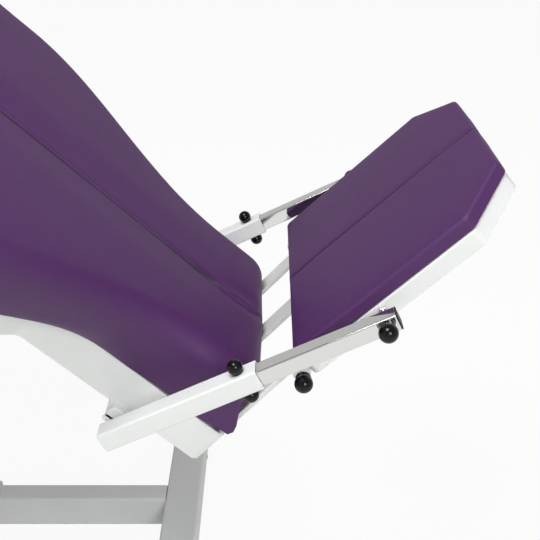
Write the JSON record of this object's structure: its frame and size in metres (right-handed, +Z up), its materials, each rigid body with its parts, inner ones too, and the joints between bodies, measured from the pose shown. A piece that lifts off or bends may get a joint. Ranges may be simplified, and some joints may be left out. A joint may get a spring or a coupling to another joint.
{
  "type": "motorized tilt table",
  "caption": "Padded therapy table that tips feet-down on a two-post base by a linear actuator, with a narrow foot end and a hinged, braced and padded footplate.",
  "frame": {"origin": "on the floor, below the middle of the whole length and width at the rest tilt", "axes": "+X to the foot end, +Y to the far side seen in the picture, +Z up"},
  "size_m": [1.801, 0.69, 1.8222],
  "materials": {
    "white_paint": "white powder coat, fine orange peel",
    "grey_paint": "pale grey powder coat",
    "chrome": "bright chrome plate",
    "steel": "turned steel",
    "aluminium": "anodised",
    "bronze": "sintered bronze",
    "black_plastic": "moulded",
    "knob": "polished thermoset",
    "grey_plastic": "textured moulding",
    "pedal_rubber": "ribbed",
    "rubber": "moulded",
    "winding": "wound copper",
    "circuit": "lacquered",
    "board": "black stained board",
    "purple_vinyl": "smooth upholstery vinyl over foam"
  },
  "bodies": {
    "base": {"base_bars": "white_paint", "base_rails": "white_paint", "posts": "white_paint", "post_feet": "white_paint", "bearing_blocks": "white_paint", "bearing_bushes": "bronze", "anchor_plates": "white_paint", "lower_drive_pin": "steel", "foot_pads": "rubber", "foot_studs": "steel", "bar_caps": "black_plastic", "wheel_forks": "steel", "control_box": "grey_plastic", "control_lid": "grey_plastic", "mains_inlet": "black_plastic", "mains_switch": "black_plastic", "transformer": "winding", "control_circuit": "circuit", "pedal_housing": "grey_plastic", "pedal_pivots": "steel"},
    "mains_rocker": {"mains_rocker": "black_plastic"},
    "pedal_up": {"pedal_up": "pedal_rubber"},
    "pedal_down": {"pedal_down": "pedal_rubber"},
    "transport_wheel_near": {"transport_wheel_near": "rubber"},
    "transport_wheel_far": {"transport_wheel_far": "rubber"},
    "table_top": {"main_beams": "white_paint", "cross_members": "white_paint", "skirt_near": "white_paint", "skirt_far": "white_paint", "skirt_ends": "white_paint", "tilt_shaft": "steel", "hanger_plates": "white_paint", "upper_drive_pin": "steel", "cushion_board": "board", "main_cushion": "purple_vinyl", "footplate_arms": "grey_paint", "brace_brackets": "white_paint", "frame_bolts": "chrome"},
    "footplate": {"footplate_tray": "white_paint", "heel_rod": "steel", "footplate_pad": "purple_vinyl", "upper_brace_pins": "chrome"},
    "drive_body": {"drive_gearbox": "grey_plastic", "drive_tube": "aluminium", "drive_motor": "black_plastic"},
    "drive_rod": {"drive_rod": "chrome"},
    "brace_outer_near": {"brace_outer_near": "white_paint"},
    "brace_inner_near": {"brace_inner_near": "chrome", "brace_plug_near": "black_plastic"},
    "clamp_knob_top_near": {"clamp_knob_top_near": "knob"},
    "clamp_knob_low_near": {"clamp_knob_low_near": "knob"},
    "brace_knob_near": {"brace_knob_near": "knob"},
    "heel_knob_near": {"heel_knob_near": "knob"},
    "brace_outer_far": {"brace_outer_far": "white_paint"},
    "brace_inner_far": {"brace_inner_far": "chrome", "brace_plug_far": "black_plastic"},
    "clamp_knob_top_far": {"clamp_knob_top_far": "knob"},
    "clamp_knob_low_far": {"clamp_knob_low_far": "knob"},
    "brace_knob_far": {"brace_knob_far": "knob"},
    "heel_knob_far": {"heel_knob_far": "knob"}
  },
  "joints": [
    {"name": "tilt", "type": "hinge", "parent": "base", "child": "table_top", "pos_m": [0.04659, 0, 0.76], "axis": [0, 1, 0], "range_deg": [-43, 42]},
    {"name": "drive_swing", "type": "hinge", "parent": "base", "child": "drive_body", "pos_m": [-0.05693, 0, 0.37363], "axis": [0, 1, 0], "range_deg": [-21.5, 21]},
    {"name": "drive_rod_swing", "type": "hinge", "parent": "table_top", "child": "drive_rod", "pos_m": [-0.24595, 0, 1.0328], "axis": [0, 1, 0], "range_deg": [-21, 21.5]},
    {"name": "footplate_angle", "type": "hinge", "parent": "table_top", "child": "footplate", "pos_m": [0.64309, 0, 0.53602], "axis": [0, 1, 0], "range_deg": [-14, 12]},
    {"name": "mains_rocker_rock", "type": "hinge", "parent": "base", "child": "mains_rocker", "pos_m": [-0.47741, -0.03, 0.1503], "axis": [0, 1, 0], "range_deg": [-6, 6]},
    {"name": "pedal_up_press", "type": "hinge", "parent": "base", "child": "pedal_up", "pos_m": [-0.28341, -0.102, 0.123], "axis": [1, 0, 0], "range_deg": [0, 4.5], "stiffness_Nm_per_rad": 18, "springref_deg": -3.44},
    {"name": "pedal_down_press", "type": "hinge", "parent": "base", "child": "pedal_down", "pos_m": [-0.28341, -0.102, 0.123], "axis": [1, 0, 0], "range_deg": [0, 4.5], "stiffness_Nm_per_rad": 18, "springref_deg": -3.44},
    {"name": "brace_outer_swing_near", "type": "hinge", "parent": "table_top", "child": "brace_outer_near", "pos_m": [0.4103, -0.23, 0.47553], "axis": [0, 1, 0], "range_deg": [-5.43, 4.72]},
    {"name": "brace_inner_swing_near", "type": "hinge", "parent": "footplate", "child": "brace_inner_near", "pos_m": [0.73816, -0.23, 0.63491], "axis": [0, 1, 0], "range_deg": [-8.28, 9.57]},
    {"name": "clamp_knob_top_near_turn", "type": "hinge", "parent": "brace_outer_near", "child": "clamp_knob_top_near", "pos_m": [0.56769, -0.23, 0.55204], "axis": [0.4372, 0, -0.8994], "range_deg": [-360, 0]},
    {"name": "clamp_knob_low_near_turn", "type": "hinge", "parent": "brace_outer_near", "child": "clamp_knob_low_near", "pos_m": [0.56769, -0.23, 0.55204], "axis": [0.4372, 0, -0.8994], "range_deg": [-360, 0]},
    {"name": "brace_knob_near_turn", "type": "hinge", "parent": "footplate", "child": "brace_knob_near", "pos_m": [0.73816, -0.23, 0.63491], "axis": [0, 1, 0], "range_deg": [-360, 0]},
    {"name": "heel_knob_near_turn", "type": "hinge", "parent": "footplate", "child": "heel_knob_near", "pos_m": [0.64309, -0.23, 0.53602], "axis": [0, 1, 0], "range_deg": [-360, 0]},
    {"name": "transport_wheel_roll_near", "type": "hinge", "parent": "base", "child": "transport_wheel_near", "pos_m": [-0.5914, -0.2, 0.048], "axis": [0, 1, 0], "continuous": true},
    {"name": "brace_outer_swing_far", "type": "hinge", "parent": "table_top", "child": "brace_outer_far", "pos_m": [0.4103, 0.23, 0.47553], "axis": [0, 1, 0], "range_deg": [-5.43, 4.72]},
    {"name": "brace_inner_swing_far", "type": "hinge", "parent": "footplate", "child": "brace_inner_far", "pos_m": [0.73816, 0.23, 0.63491], "axis": [0, 1, 0], "range_deg": [-8.28, 9.57]},
    {"name": "clamp_knob_top_far_turn", "type": "hinge", "parent": "brace_outer_far", "child": "clamp_knob_top_far", "pos_m": [0.56769, 0.23, 0.55204], "axis": [0.4372, 0, -0.8994], "range_deg": [-360, 0]},
    {"name": "clamp_knob_low_far_turn", "type": "hinge", "parent": "brace_outer_far", "child": "clamp_knob_low_far", "pos_m": [0.56769, 0.23, 0.55204], "axis": [0.4372, 0, -0.8994], "range_deg": [-360, 0]},
    {"name": "brace_knob_far_turn", "type": "hinge", "parent": "footplate", "child": "brace_knob_far", "pos_m": [0.73816, 0.23, 0.63491], "axis": [0, 1, 0], "range_deg": [-360, 0]},
    {"name": "heel_knob_far_turn", "type": "hinge", "parent": "footplate", "child": "heel_knob_far", "pos_m": [0.64309, 0.23, 0.53602], "axis": [0, 1, 0], "range_deg": [-360, 0]},
    {"name": "transport_wheel_roll_far", "type": "hinge", "parent": "base", "child": "transport_wheel_far", "pos_m": [-0.5914, 0.2, 0.048], "axis": [0, 1, 0], "continuous": true}
  ],
  "couplings": [
    {"joint": "drive_swing", "follows": "tilt", "ratio": 0.5},
    {"joint": "drive_rod_swing", "follows": "tilt", "ratio": -0.5},
    {"joint": "brace_outer_swing_near", "follows": "footplate_angle", "ratio": 0.3519},
    {"joint": "brace_inner_swing_near", "follows": "footplate_angle", "ratio": -0.6481},
    {"joint": "brace_outer_swing_far", "follows": "footplate_angle", "ratio": 0.3519},
    {"joint": "brace_inner_swing_far", "follows": "footplate_angle", "ratio": -0.6481}
  ]
}
